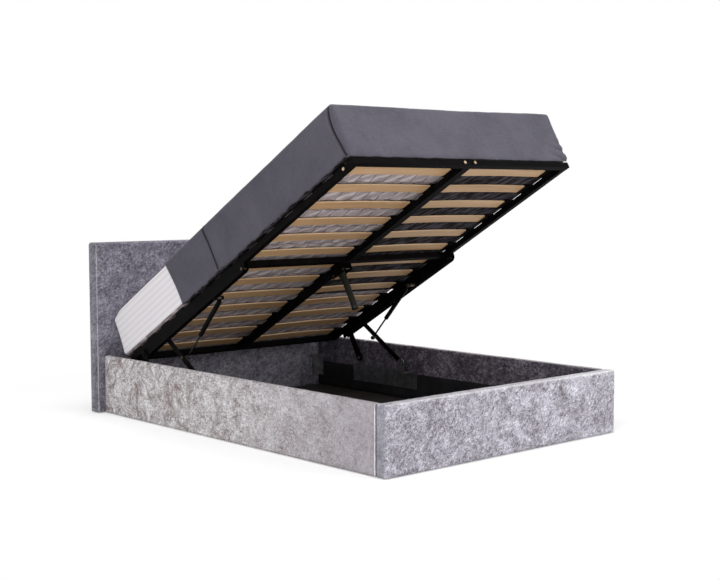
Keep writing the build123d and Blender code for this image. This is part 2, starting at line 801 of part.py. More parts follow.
# Studs on the lift bars that carry the struts' upper eyes
with BuildPart(platform) as strut_studs:
    along, drop = strut_pin_local
    for side, tag in sides:
        head = eye_inner - side_clearance
        nut = rail_inner + lift_bar_wall
        bar_x(side * (head - pin_head_height), side * head, along, -drop, pin_head_radius)
        bar_x(side * head, side * nut, along, -drop, pin_radius)
        bar_x(side * (eye_outer + side_clearance), side * rail_inner, along, -drop, pin_head_radius)
        bar_x(side * nut, side * (nut + pin_head_height), along, -drop, pin_head_radius)
strut_studs.part.label = "strut_studs"
export_step(strut_studs.part, "parts/strut_studs.step")


# Slat holders: pockets on the side rails, and double pockets on the centre rail
pocket_low = holder_floor
pocket_high = holder_height - holder_roof
with BuildPart(platform) as side_slat_holders:
    for side, tag in sides:
        for along in slat_alongs:
            block(
                (side * side_holder_inner, along - holder_length / 2, 0),
                (side * side_holder_outer, along + holder_length / 2, holder_height),
            )
            block(
                (side * (side_holder_inner - overrun), along - pocket_half, pocket_low),
                (side * (side_holder_outer - holder_end_wall), along + pocket_half, pocket_high),
                mode=Mode.SUBTRACT,
            )
side_slat_holders.part.label = "side_slat_holders"
export_step(side_slat_holders.part, "parts/side_slat_holders.step")

with BuildPart(platform) as centre_slat_holders:
    for along in slat_alongs:
        block(
            (-centre_holder_half, along - holder_length / 2, 0),
            (centre_holder_half, along + holder_length / 2, holder_height),
        )
        for side, tag in sides:
            block(
                (side * holder_end_wall, along - pocket_half, pocket_low),
                (side * (centre_holder_half + overrun), along + pocket_half, pocket_high),
                mode=Mode.SUBTRACT,
            )
centre_slat_holders.part.label = "centre_slat_holders"
export_step(centre_slat_holders.part, "parts/centre_slat_holders.step")


# Bowed slats, a left and a right one in each row
slat_middle = (slat_inner_end + slat_outer_end) / 2
slat_top = slat_seat + slat_thickness
for row, along in enumerate(slat_alongs, start=1):
    with BuildPart() as slat_row:
        for side, tag in sides:
            with BuildSketch(platform_cross_plane(along + slat_width / 2)):
                with BuildLine():
                    inner_x = side * slat_inner_end
                    middle_x = side * slat_middle
                    outer_x = side * slat_outer_end
                    ThreePointArc(
                        (inner_x, slat_seat), (middle_x, slat_seat + slat_bow), (outer_x, slat_seat)
                    )
                    Line((outer_x, slat_seat), (outer_x, slat_top))
                    ThreePointArc(
                        (outer_x, slat_top), (middle_x, slat_top + slat_bow), (inner_x, slat_top)
                    )
                    Line((inner_x, slat_top), (inner_x, slat_seat))
                make_face()
            extrude(amount=slat_width)
        fillet(slat_row.edges().filter_by(GeomType.CIRCLE), slat_edge_round)
    slat_row.part.label = f"slat_row_{row:02d}"
    export_step(slat_row.part, f"parts/slat_row_{row:02d}.step")


# Centre leg: a bracket round the centre rail, a round tube and a metal foot
plug_radius = leg_radius - leg_wall - leg_plug_clearance
leg_top = rail_depth + leg_bracket_sheet
leg_tube_end = leg_end_drop - leg_foot_height
bracket_half = centre_half + leg_bracket_sheet
bracket_start = leg_along - leg_bracket_length / 2
bracket_end = leg_along + leg_bracket_length / 2
leg_bolt_alongs = (leg_along - leg_bolt_spread / 2, leg_along + leg_bolt_spread / 2)
with BuildPart(platform) as leg_bracket:
    for side, tag in sides:
        block(
            (side * centre_half, bracket_start, -rail_depth - leg_bracket_skirt),
            (side * bracket_half, bracket_end, leg_bracket_rise - rail_depth),
        )
    block((-centre_half, bracket_start, -leg_top), (centre_half, bracket_end, -rail_depth))
    bar_z(-leg_top - leg_plug_length, -leg_top, 0, leg_along, plug_radius)
    for along in leg_bolt_alongs:
        reach = bracket_half + overrun
        bar_x(-reach, reach, along, -leg_bolt_drop, bolt_hole, Mode.SUBTRACT)
leg_bracket.part.label = "leg_bracket"
export_step(leg_bracket.part, "parts/leg_bracket.step")

with BuildPart(platform) as centre_leg:
    bar_z(-leg_tube_end, -leg_top, 0, leg_along, leg_radius)
    bar_z(-leg_tube_end - overrun, -leg_top + overrun, 0, leg_along, leg_radius - leg_wall, Mode.SUBTRACT)
centre_leg.part.label = "centre_leg"
export_step(centre_leg.part, "parts/centre_leg.step")

with BuildPart(platform) as leg_foot:
    bar_z(-leg_end_drop, -leg_tube_end, 0, leg_along, leg_foot_radius)
    fillet(leg_foot.edges().filter_by(GeomType.CIRCLE), leg_wall)
    bar_z(-leg_tube_end, leg_plug_length - leg_tube_end, 0, leg_along, plug_radius)
leg_foot.part.label = "leg_foot"
export_step(leg_foot.part, "parts/leg_foot.step")


# Hexagon bolts of the foot rail, the frame corners, the lift bars and the leg bracket
with BuildPart() as frame_bolts:
    for side, tag in sides:
        outward = (side, 0, 0)
        inward = (-side, 0, 0)
        foot_point = platform_point(side * foot_bolt_spread / 2, 0, rail_depth / 2)
        hex_bolt(foot_point, to_foot, bolt_grip / 2)
        corner_point = platform_point(side * frame_half, corner_bolt_along, rail_depth / 2)
        hex_bolt(corner_point, outward, bolt_grip / 2)
        outer_point = platform_point(side * frame_half, lift_bolt_along, lift_bolt_drop)
        hex_bolt(outer_point, outward, rail_width)
        inner_point = platform_point(side * rail_inner, lift_bolt_along, lift_bolt_drop)
        hex_bolt(inner_point, inward, lift_bar_wall)
        for along in leg_bolt_alongs:
            leg_point = platform_point(side * bracket_half, along, leg_bolt_drop)
            hex_bolt(leg_point, outward, bracket_half)
frame_bolts.part.label = "frame_bolts"
export_step(frame_bolts.part, "parts/frame_bolts.step")


def mattress_stations(grow):
    """Cross sections from foot to head, as (along, inset, top share, crown)."""
    crown_gain = mattress_crown - mattress_end_crown
    run = mattress_length - mattress_foot_round - mattress_head_round
    steps = [i * math.pi / 2 / end_round_steps for i in range(end_round_steps + 1)]
    stations = []
    radius = mattress_foot_round + grow
    for turn in steps:
        along = radius * (1 - math.cos(turn)) - grow
        stations.append((along, radius * (1 - math.sin(turn)), foot_top_share, mattress_end_crown))
    for length_share, rise_share in crown_shares:
        crown = mattress_end_crown + crown_gain * rise_share
        stations.append((mattress_foot_round + run * length_share, 0, 0, crown))
    radius = mattress_head_round + grow
    for turn in reversed(steps):
        along = mattress_length - radius * (1 - math.cos(turn)) + grow
        stations.append((along, radius * (1 - math.sin(turn)), head_top_share, mattress_end_crown))
    return stations


def mattress_body(grow, mode=Mode.ADD):
    """The cushion, grown all round: crowned top, drawn-in sides, rounded ends."""
    low_round = mattress_bottom_round + grow
    high_round = mattress_top_round + grow
    sections = []
    for along, inset, top_share, crown in mattress_stations(grow):
        half = mattress_half + grow - inset
        low = mattress_base - grow + under_round_share * inset
        high = mattress_top + grow - top_share * inset
        low_turn = low_round * (1 - math.sqrt(0.5))
        high_turn = high_round * (1 - math.sqrt(0.5))
        waist = half - mattress_draw_in
        middle = (low + high) / 2
        with BuildSketch(platform_cross_plane(along)) as section:
            with BuildLine():
                Line((low_round - half, low), (half - low_round, low))
                ThreePointArc(
                    (half - low_round, low), (half - low_turn, low + low_turn), (half, low + low_round)
                )
                ThreePointArc((half, low + low_round), (waist, middle), (half, high - high_round))
                ThreePointArc(
                    (half, high - high_round), (half - high_turn, high - high_turn), (half - high_round, high)
                )
                ThreePointArc((half - high_round, high), (0, high + crown), (high_round - half, high))
                ThreePointArc(
                    (high_round - half, high),
                    (high_turn - half, high - high_turn),
                    (-half, high - high_round),
                )
                ThreePointArc((-half, high - high_round), (-waist, middle), (-half, low + low_round))
                ThreePointArc(
                    (-half, low + low_round), (low_turn - half, low + low_turn), (low_round - half, low)
                )
            make_face()
        sections.append(section.sketch)
    loft(sections, ruled=True, mode=mode)


# Mattress, bare at its head end
with BuildPart() as mattress:
    mattress_body(0)
mattress.part.label = "mattress"
export_step(mattress.part, "parts/mattress.step")

# Bedspread over the foot end, tucked a little under the near side and far under the other
with BuildPart(platform) as mattress_cover:
    mattress_body(soft_clearance + cloth_thickness)
    mattress_body(soft_clearance, Mode.SUBTRACT)
    block(
        (cover_near_tuck - mattress_half, cover_foot_tuck, 0),
        (mattress_half - cover_far_tuck, mattress_length, mattress_base),
        mode=Mode.SUBTRACT,
    )
    with BuildSketch(platform_side_plane(0)):
        with BuildLine():
            edge_top = mattress_length - cover_top_setback
            edge_bottom = mattress_length - cover_bottom_setback
            slant = (edge_top - edge_bottom) / mattress_height
            head_end = mattress_length + overrun
            high = mattress_top + overrun
            Polyline(
                (edge_bottom - slant * mattress_base, 0),
                (edge_top + slant * overrun, high),
                (head_end, high),
                (head_end, 0),
                close=True,
            )
        make_face()
    extrude(amount=mattress_half + overrun, both=True, mode=Mode.SUBTRACT)
mattress_cover.part.label = "mattress_cover"
export_step(mattress_cover.part, "parts/mattress_cover.step")
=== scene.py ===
import json
import math

import bmesh
import bpy
from mathutils import Matrix, Vector, noise


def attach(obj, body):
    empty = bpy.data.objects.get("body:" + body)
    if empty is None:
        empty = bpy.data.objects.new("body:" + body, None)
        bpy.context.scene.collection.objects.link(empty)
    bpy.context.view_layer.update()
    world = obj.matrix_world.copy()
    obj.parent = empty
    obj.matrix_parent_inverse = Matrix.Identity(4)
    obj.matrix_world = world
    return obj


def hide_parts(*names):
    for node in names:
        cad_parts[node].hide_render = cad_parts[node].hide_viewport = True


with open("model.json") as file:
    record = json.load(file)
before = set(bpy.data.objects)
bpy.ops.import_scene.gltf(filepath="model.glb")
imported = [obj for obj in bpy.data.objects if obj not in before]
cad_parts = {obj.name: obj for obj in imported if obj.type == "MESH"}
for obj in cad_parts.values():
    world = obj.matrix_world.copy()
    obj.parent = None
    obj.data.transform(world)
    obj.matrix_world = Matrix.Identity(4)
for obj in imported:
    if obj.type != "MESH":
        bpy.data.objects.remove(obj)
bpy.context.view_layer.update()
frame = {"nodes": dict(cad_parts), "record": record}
NODES = frame["nodes"]
MM = 0.001

# The bed in its own frame, in millimetres
FOOT_FACE, FOOT_BACK = -1060.0, -1001.0
HEADBOARD_FACE, CLOTH_FACE = 990.0, 1058.0
OUTER_HALF, INNER_HALF = 715.0, 680.0
PANEL_TOP, HEM, TURN_IN = 287.0, 4.0, 140.0
HEADBOARD_HALF, HEADBOARD_TOP = 752.0, 850.0

# The platform: its foot edge at the top of the rails, and its tilt
LIFT = math.radians(29.6)
ARM_PIN_Y, ARM_PIN_Z = HEADBOARD_FACE - 438.48, 395.242
PIN_ALONG, PIN_DROP = 1600.0, 50.0
PLATFORM_Y = ARM_PIN_Y - PIN_ALONG * math.cos(LIFT) + PIN_DROP * math.sin(LIFT)
PLATFORM_Z = ARM_PIN_Z + PIN_ALONG * math.sin(LIFT) + PIN_DROP * math.cos(LIFT)
TO_HEAD = Vector((0, math.cos(LIFT), -math.sin(LIFT)))
UP = Vector((0, math.sin(LIFT), math.cos(LIFT)))

MATTRESS_HALF, MATTRESS_LENGTH = 672.5, 1935.0
MATTRESS_BASE, MATTRESS_HEIGHT = 15.8, 226.0


def on_platform(x, along, up):
    """A point of the platform, given in millimetres, in the bed's frame in metres."""
    y = PLATFORM_Y + along * TO_HEAD.y + up * UP.y
    z = PLATFORM_Z + along * TO_HEAD.z + up * UP.z
    return Vector((x * MM, y * MM, z * MM))


def in_room(x, y, z):
    return Vector((x * MM, y * MM, z * MM))


def fractal(x, y, z, octaves=3):
    return noise.fractal(Vector((x, y, z)), 0.8, 2.1, octaves)


def smooth(edge0, edge1, value):
    t = min(1.0, max(0.0, (value - edge0) / (edge1 - edge0)))
    return t * t * (3 - 2 * t)


def bump_at(value, centre, width):
    return math.exp(-((value - centre) / width) ** 2)


# Materials


class Surface:
    """A node material whose texture coordinates are the object's own."""

    def __init__(self, name, roughness=0.6, metallic=0.0, tilt=0.0, lean=0.0, **settings):
        self.material = bpy.data.materials.new(name)
        self.material.use_nodes = True
        self.nodes = self.material.node_tree.nodes
        self.links = self.material.node_tree.links
        self.shader = self.nodes["Principled BSDF"]
        self.shader.inputs["Roughness"].default_value = roughness
        self.shader.inputs["Metallic"].default_value = metallic
        for key, value in settings.items():
            self.shader.inputs[key.replace("_", " ")].default_value = value
        self.source = self.nodes.new("ShaderNodeTexCoord").outputs["Object"]
        self.straight = self.source
        if tilt or lean:
            turn = self.nodes.new("ShaderNodeMapping")
            turn.inputs["Rotation"].default_value = (tilt, lean, 0)
            self.links.new(self.source, turn.inputs["Vector"])
            self.source = turn.outputs["Vector"]

    def along(self, axis, start, end):
        """How far the point lies from start to end along an axis, from 0 to 1."""
        split = self.nodes.new("ShaderNodeSeparateXYZ")
        self.links.new(self.straight, split.inputs[0])
        node = self.nodes.new("ShaderNodeMapRange")
        node.inputs["From Min"].default_value = start
        node.inputs["From Max"].default_value = end
        self.links.new(split.outputs[axis], node.inputs["Value"])
        return node.outputs["Result"]

    def place(self, scale):
        """Coordinates stretched by three factors."""
        node = self.nodes.new("ShaderNodeMapping")
        node.inputs["Scale"].default_value = scale
        self.links.new(self.source, node.inputs["Vector"])
        return node.outputs["Vector"]

    def noise(self, scale, stretch=(1, 1, 1), detail=4.0, rough=0.55, distortion=0.0):
        node = self.nodes.new("ShaderNodeTexNoise")
        node.inputs["Scale"].default_value = scale
        node.inputs["Detail"].default_value = detail
        node.inputs["Roughness"].default_value = rough
        node.inputs["Distortion"].default_value = distortion
        self.links.new(self.place(stretch), node.inputs["Vector"])
        return node.outputs["Fac"]

    def cells(self, scale, stretch, warp, warp_size):
        """A random value in each cell, with its borders bent by a noise."""
        node = self.nodes.new("ShaderNodeTexVoronoi")
        node.inputs["Scale"].default_value = scale
        where = self.place(stretch)
        bent = self.nodes.new("ShaderNodeTexNoise")
        bent.inputs["Scale"].default_value = warp
        bent.inputs["Detail"].default_value = 3.0
        self.links.new(where, bent.inputs["Vector"])
        shift = self.vector("MULTIPLY_ADD", bent.outputs["Color"], (warp_size,) * 3, where)
        self.links.new(shift, node.inputs["Vector"])
        split = self.nodes.new("ShaderNodeSeparateColor")
        self.links.new(node.outputs["Color"], split.inputs["Color"])
        return split.outputs[0]

    def wave(self, scale, direction, distortion=0.0):
        node = self.nodes.new("ShaderNodeTexWave")
        node.bands_direction = direction
        node.inputs["Scale"].default_value = scale
        node.inputs["Distortion"].default_value = distortion
        node.inputs["Detail"].default_value = 1.0
        self.links.new(self.source, node.inputs["Vector"])
        return node.outputs["Fac"]

    def feed(self, socket, value):
        """Links an output to the socket, or sets a plain value on it."""
        if hasattr(value, "links"):
            self.links.new(value, socket)
        else:
            socket.default_value = value

    def vector(self, operation, *values):
        node = self.nodes.new("ShaderNodeVectorMath")
        node.operation = operation
        for socket, value in zip(node.inputs, values):
            self.feed(socket, value)
        return node.outputs["Vector"]

    def math(self, operation, *values):
        node = self.nodes.new("ShaderNodeMath")
        node.operation = operation
        for socket, value in zip(node.inputs, values):
            self.feed(socket, value)
        return node.outputs["Value"]

    def ramp(self, factor, stops):
        """A colour ramp with soft steps."""
        node = self.nodes.new("ShaderNodeValToRGB")
        node.color_ramp.interpolation = "EASE"
        points = node.color_ramp.elements
        for i, (place, colour) in enumerate(stops):
            point = points[i] if i < 2 else points.new(place)
            point.position = place
            point.color = (*colour, 1)
        self.links.new(factor, node.inputs["Fac"])
        return node.outputs["Color"]

    def mix(self, factor, first, second):
        node = self.nodes.new("ShaderNodeMix")
        node.data_type = "RGBA"
        self.feed(node.inputs["Factor"], factor)
        for socket, value in zip((node.inputs[6], node.inputs[7]), (first, second)):
            self.feed(socket, (*value, 1) if isinstance(value, tuple) else value)
        return node.outputs[2]

    def colour(self, value):
        self.links.new(value, self.shader.inputs["Base Color"])

    def clamp(self, value):
        node = self.nodes.new("ShaderNodeClamp")
        self.links.new(value, node.inputs["Value"])
        return node.outputs["Result"]

    def rough(self, factor, low, high):
        node = self.nodes.new("ShaderNodeMapRange")
        node.inputs["To Min"].default_value = low
        node.inputs["To Max"].default_value = high
        self.links.new(factor, node.inputs["Value"])
        self.links.new(node.outputs["Result"], self.shader.inputs["Roughness"])

    def bump(self, height, strength, distance, below=None):
        node = self.nodes.new("ShaderNodeBump")
        node.inputs["Strength"].default_value = strength
        node.inputs["Distance"].default_value = distance
        self.links.new(height, node.inputs["Height"])
        if below is not None:
            self.links.new(below, node.inputs["Normal"])
        self.links.new(node.outputs["Normal"], self.shader.inputs["Normal"])
        return node.outputs["Normal"]

    def normal_part(self, axis):
        """How squarely the surface faces along an axis, from 0 to 1."""
        coords = self.nodes.new("ShaderNodeTexCoord")
        node = self.nodes.new("ShaderNodeVectorMath")
        node.operation = "DOT_PRODUCT"
        node.inputs[1].default_value = axis
        self.links.new(coords.outputs["Normal"], node.inputs[0])
        return self.math("ABSOLUTE", node.outputs["Value"])


def crushed_velvet(
    name, deep, dark, mid, bright, lean=0.0, patches=0.0, size=1.0, foot_shade=None, top_edge_highlight=None, end_face_shade=None
):
    """Pile pressed flat in random patches, which shine or darken by turns. The last three colours are painted
    light: a painted shade towards the foot end, a painted highlight along a top edge, and a painted shade on
    the panel's narrow ends and near end."""
    s = Surface(name, 0.5, lean=lean, Sheen_Weight=0.12, Sheen_Roughness=0.4, Specular_IOR_Level=0.25)
    upright = (1, 1, 1.3)
    broad = s.noise(6.5, detail=4.0, rough=0.6, distortion=1.3)
    patch = s.noise(30.0 * size, stretch=upright, detail=6.0, rough=0.75, distortion=0.9)
    flake = s.cells(95.0 * size, stretch=upright, warp=40.0, warp_size=0.035)
    fine = s.noise(120.0 * size, stretch=upright, detail=4.0, rough=0.75, distortion=0.6)
    tone = s.math("MULTIPLY_ADD", patch, 0.34, s.math("MULTIPLY", flake, 0.10))
    tone = s.math("ADD", tone, s.math("MULTIPLY", broad, 0.23))
    tone = s.math("ADD", tone, s.math("MULTIPLY", fine, 0.33))
    pile = s.ramp(tone, ((0.415, deep), (0.457, dark), (0.497, mid), (0.60, bright)))
    brushed = s.noise(11.0, detail=6.0, rough=0.8, distortion=1.2)
    brushed = s.math("MULTIPLY", s.math("SUBTRACT", brushed, 0.47), 7.0)
    amount = s.math("MULTIPLY", s.clamp(brushed), patches)
    if foot_shade is not None:
        # the pile is quieter, with painted shade making it darker towards the foot, and more brushed towards
        # the head
        foot_shade_mask = s.along(1, 0.1, -0.95)
        pile = s.mix(s.math("MULTIPLY", foot_shade_mask, 0.74), pile, foot_shade)
        amount = s.math("MULTIPLY", amount, s.math("MULTIPLY_ADD", s.along(1, -0.6, 0.8), 0.9, 0.25))
    pile = s.mix(amount, pile, deep)
    if end_face_shade is not None:
        # painted shade: the narrow end faces, which look along x, are mixed towards a darker colour
        end_face_shade_mask = s.math("POWER", s.normal_part((1, 0, 0)), 3.0)
        pile = s.mix(s.math("MULTIPLY", end_face_shade_mask, 0.6), pile, end_face_shade)
        # painted shade: the near end of the panel is painted a little darker
        near_end_shade = s.math("MULTIPLY", s.along(0, 0.3, -0.75), 0.2)
        pile = s.mix(near_end_shade, pile, tuple(c * 0.2 for c in end_face_shade))
    if top_edge_highlight is not None:
        # painted highlight along the rounded top front edge, weaker towards the near end
        lit = s.math("POWER", s.normal_part((0, -0.45, 0.893)), 7.0)
        pale = s.math("MULTIPLY_ADD", s.along(0, -0.8, 0.5), 0.4, 0.3)
        pile = s.mix(s.math("MULTIPLY", lit, pale), pile, top_edge_highlight)
    s.colour(pile)
    s.rough(flake, 0.42, 0.62)
    first = s.bump(patch, 0.25, 0.003)
    s.bump(fine, 0.25, 0.0008, below=first)
    return s.material


def linen(name, dark, light, tilt=0.0):
    """Uneven threads both ways, with broad softly faded areas, painted shade in the folds and painted shade
    on the faces that look along x.
    """
    s = Surface(name, roughness=0.85, tilt=tilt)
    across = s.noise(240.0, stretch=(0.12, 1.6, 1.6), detail=4.0, rough=0.75)
    down = s.noise(240.0, stretch=(1.6, 0.12, 1.6), detail=4.0, rough=0.75)
    upright = s.noise(240.0, stretch=(1.6, 1.6, 0.12), detail=4.0, rough=0.75)
    cloud = s.noise(5.0, detail=5.0, rough=0.6)
    tone = s.math("MULTIPLY_ADD", across, 0.26, s.math("MULTIPLY", down, 0.22))
    tone = s.math("ADD", tone, s.math("MULTIPLY", upright, 0.22))
    tone = s.math("ADD", tone, s.math("MULTIPLY", cloud, 0.30))
    cloth = s.ramp(tone, ((0.36, dark), (0.64, light)))
    # painted shade read from the fold_shade attribute: folds, seams and the underside are darkened, with less
    # sheen and gloss there
    fold_shade = s.nodes.new("ShaderNodeAttribute")
    fold_shade.attribute_name = "fold_shade"
    shade = (dark[0] * 0.16, dark[1] * 0.11, dark[2] * 0.08)
    deep = s.clamp(fold_shade.outputs["Fac"])
    cloth = s.mix(deep, cloth, shade)
    s.links.new(s.math("MULTIPLY_ADD", deep, -0.09, 0.1), s.shader.inputs["Sheen Weight"])
    s.links.new(s.math("MULTIPLY_ADD", deep, -0.13, 0.15), s.shader.inputs["Specular IOR Level"])
    # painted shade: faces that look along x are mixed towards a darker colour
    side = s.math("MULTIPLY", s.normal_part((1, 0, 0)), 0.2)
    s.colour(s.mix(side, cloth, tuple(c * 0.35 for c in dark)))
    s.bump(tone, 0.3, 0.0007)
    return s.material


def timber(name, dark, mid, light, edge=None):
    """Long grain that runs across the bed, with paler cut edges."""
    s = Surface(name, roughness=0.5, tilt=LIFT, Specular_IOR_Level=0.4)
    grain = s.noise(9.0, stretch=(0.35, 9, 9), detail=6.0, rough=0.65, distortion=0.9)
    pores = s.noise(60.0, stretch=(0.12, 7, 7), detail=3.0)
    board = s.noise(3.0, stretch=(0.2, 3.2, 1), detail=1.0)
    tone = s.math("MULTIPLY_ADD", grain, 0.55, s.math("MULTIPLY", board, 0.45))
    face = s.ramp(tone, ((0.34, dark), (0.5, mid), (0.66, light)))
    face = s.mix(s.math("MULTIPLY", pores, 0.25), face, dark)
    if edge is not None:
        square = s.math("GREATER_THAN", s.normal_part(tuple(TO_HEAD)), 0.8)
        plies = s.wave(230.0, "Z")
        face = s.mix(square, face, s.ramp(plies, ((0.2, mid), (0.6, edge))))
    s.colour(face)
    s.rough(grain, 0.42, 0.6)
    s.bump(pores, 0.15, 0.0005)
    return s.material


def painted(name, colour, roughness, grain=420.0, gloss=0.25):
    """Paint or powder coat with a faint orange peel."""
    s = Surface(name, roughness=roughness, Specular_IOR_Level=gloss)
    peel = s.noise(grain, detail=2.0)
    wear = s.noise(14.0, detail=6.0, rough=0.7)
    lighter = tuple(min(1.0, c * 1.9 + 0.003) for c in colour)
    s.colour(s.ramp(wear, ((0.45, colour), (0.8, lighter))))
    s.rough(wear, roughness * 0.8, min(1.0, roughness * 1.25))
    s.bump(peel, 0.12, 0.0003)
    return s.material


def plated(name, colour, dull, roughness, brushed=(1, 1, 1), low_darkening=None):
    """Bare or plated metal with fine marks and duller patches, mixed towards a darker colour low down if
    asked.
    """
    s = Surface(name, roughness=roughness, metallic=1.0)
    marks = s.noise(300.0, stretch=brushed, detail=3.0)
    patches = s.noise(30.0, detail=4.0)
    plate = s.ramp(patches, ((0.35, dull), (0.65, colour)))
    # darker below a set height
    if low_darkening is not None:
        plate = s.mix(s.math("MULTIPLY", s.along(2, 1.0, 0.85), 0.9), plate, low_darkening)
    s.colour(plate)
    s.rough(marks, roughness * 0.7, roughness * 1.5)
    s.bump(marks, 0.08, 0.0002)
    return s.material


def ticking(name, base, stripe):
    """Knitted mattress cloth with narrow lengthwise ribs."""
    s = Surface(name, roughness=0.8, tilt=LIFT, Sheen_Weight=0.1, Specular_IOR_Level=0.25)
    ribs = s.wave(11.0, "Z", distortion=0.3)
    knit = s.noise(380.0, detail=3.0)
    soft = s.noise(6.0, detail=3.0)
    tone = s.math("MULTIPLY_ADD", ribs, 0.6, s.math("MULTIPLY", knit, 0.25))
    tone = s.math("ADD", tone, s.math("MULTIPLY", soft, 0.15))
    s.colour(s.ramp(tone, ((0.15, stripe), (0.75, base))))
    s.bump(tone, 0.25, 0.001)
    return s.material


def quilted(name, dark, light, groove_shade, stroke_highlight):
    """Pale cloth stitched in staggered blocks, each with slanting rows, with a painted sheen along the rows
    and painted shade in the stitched grooves.
    """
    s = Surface(name, roughness=0.85, tilt=LIFT, Specular_IOR_Level=0.2)
    blocks = s.nodes.new("ShaderNodeTexBrick")
    blocks.inputs["Scale"].default_value = 1.0
    blocks.inputs["Brick Width"].default_value = 0.078
    blocks.inputs["Row Height"].default_value = 0.078
    blocks.inputs["Mortar Size"].default_value = 0.0042
    blocks.inputs["Mortar Smooth"].default_value = 0.8
    s.links.new(s.source, blocks.inputs["Vector"])
    strokes = s.math("POWER", s.wave(6.5, "DIAGONAL", distortion=2.5), 4.0)
    soft = s.noise(70.0, detail=5.0, rough=0.7)
    cloud = s.noise(7.0, detail=3.0)
    tone = s.math("MULTIPLY_ADD", soft, 0.5, s.math("MULTIPLY", cloud, 0.5))
    cloth = s.ramp(tone, ((0.35, dark), (0.65, light)))
    # painted sheen along the slanting rows
    cloth = s.mix(s.math("MULTIPLY", strokes, 0.6), cloth, stroke_highlight)
    seam = blocks.outputs["Fac"]
    # painted shade in the stitched grooves
    s.colour(s.mix(s.math("MULTIPLY", seam, 0.7), cloth, groove_shade))
    first = s.bump(s.math("SUBTRACT", 1.0, seam), 0.8, 0.006)
    s.bump(soft, 0.3, 0.001, below=first)
    return s.material


def plain_cloth(name, dark, light):
    """Felted or knitted cloth without a clear weave."""
    s = Surface(name, roughness=0.9, Specular_IOR_Level=0.2)
    fibres = s.noise(520.0, detail=4.0, rough=0.7)
    cloud = s.noise(12.0, detail=4.0)
    tone = s.math("MULTIPLY_ADD", fibres, 0.5, s.math("MULTIPLY", cloud, 0.5))
    s.colour(s.ramp(tone, ((0.3, dark), (0.7, light))))
    s.bump(fibres, 0.3, 0.0005)
    return s.material


# a brighter copy of the velvet: painted light that makes up for the weaker light on the side panels, with a
# warmer tint of their own
LIT_SIDE_VELVET = crushed_velvet(
    "velvet_side_lit", (0.17, 0.115, 0.10), (0.40, 0.36, 0.365), (0.60, 0.575, 0.60), (0.98, 0.97, 0.99),
    patches=0.8, size=1.7, foot_shade=(0.29, 0.257, 0.29),
)
VELVET = crushed_velvet(
    "velvet", (0.13, 0.105, 0.12), (0.265, 0.25, 0.28), (0.435, 0.42, 0.485), (0.80, 0.785, 0.86),
    lean=0.6, patches=0.4, size=1.6, top_edge_highlight=(0.92, 0.92, 0.94), end_face_shade=(0.27, 0.27, 0.315),
)
# a darker copy of the velvet: painted shade on the headboard, with a slightly bluer tint
SHADED_HEADBOARD_VELVET = crushed_velvet(
    "velvet_headboard_shaded", (0.075, 0.064, 0.08), (0.13, 0.12, 0.15), (0.195, 0.185, 0.23), (0.36, 0.35, 0.40),
    lean=0.5, patches=0.35, size=1.1,
)
# a much darker copy for the faces turned inside the box: painted shade from the platform above, partly the
# darker look of the pile from that side
SHADED_INNER_VELVET = crushed_velvet(
    "velvet_inner_shaded", (0.045, 0.038, 0.05), (0.075, 0.065, 0.09), (0.13, 0.115, 0.15), (0.34, 0.31, 0.36),
    patches=0.4,
)
# paler copies of the velvets for the piping cords: a painted highlight along the seams
HIGHLIGHT_PIPING = crushed_velvet(
    "velvet_piping_highlight", (0.46, 0.45, 0.48), (0.54, 0.53, 0.56), (0.62, 0.61, 0.64), (0.74, 0.73, 0.76)
)
SOFT_HIGHLIGHT_PIPING = crushed_velvet(
    "velvet_soft_piping_highlight", (0.20, 0.18, 0.20), (0.28, 0.27, 0.30), (0.36, 0.35, 0.39), (0.50, 0.49, 0.53)
)
BEDSPREAD = linen("bedspread", (0.069, 0.064, 0.084), (0.128, 0.121, 0.151), tilt=LIFT)
TICKING = ticking("ticking", (0.87, 0.84, 0.87), (0.775, 0.75, 0.785))
QUILT = quilted("quilt", (0.31, 0.255, 0.26), (0.44, 0.375, 0.38), (0.14, 0.10, 0.10), (0.72, 0.66, 0.68))
LINING = plain_cloth("lining", (0.006, 0.006, 0.007), (0.022, 0.022, 0.026))
BIRCH = timber("birch", (0.42, 0.243, 0.112), (0.545, 0.335, 0.17), (0.665, 0.435, 0.245), (0.87, 0.66, 0.44))
BOARD = timber("board", (0.10, 0.05, 0.03), (0.15, 0.08, 0.055), (0.20, 0.12, 0.08))
FLOOR_BOARD = timber("floor_board", (0.02, 0.017, 0.016), (0.03, 0.026, 0.024), (0.045, 0.04, 0.037))
BLACK_STEEL = painted("black_steel", (0.0025, 0.002, 0.002), 0.6, gloss=0.03)
STRUT_BLACK = painted("strut_black", (0.0025, 0.0025, 0.003), 0.45, gloss=0.05)
LEG_STEEL = painted("leg_steel", (0.014, 0.015, 0.012), 0.5, gloss=0.12)
BLACK_PLASTIC = painted("black_plastic", (0.003, 0.003, 0.003), 0.65, grain=700.0, gloss=0.04)
ZINC = plated("zinc_steel", (0.30, 0.30, 0.31), (0.20, 0.20, 0.21), 0.4, brushed=(1, 1, 8))
BRASS = plated("brass_plated", (0.62, 0.48, 0.35), (0.38, 0.28, 0.19), 0.4, low_darkening=(0.03, 0.025, 0.02))
DULL_BRASS = plated("dull_brass", (0.11, 0.085, 0.065), (0.06, 0.045, 0.035), 0.5)
CHROME = plated("rod_steel", (0.06, 0.06, 0.062), (0.035, 0.035, 0.037), 0.35, brushed=(8, 1, 1))

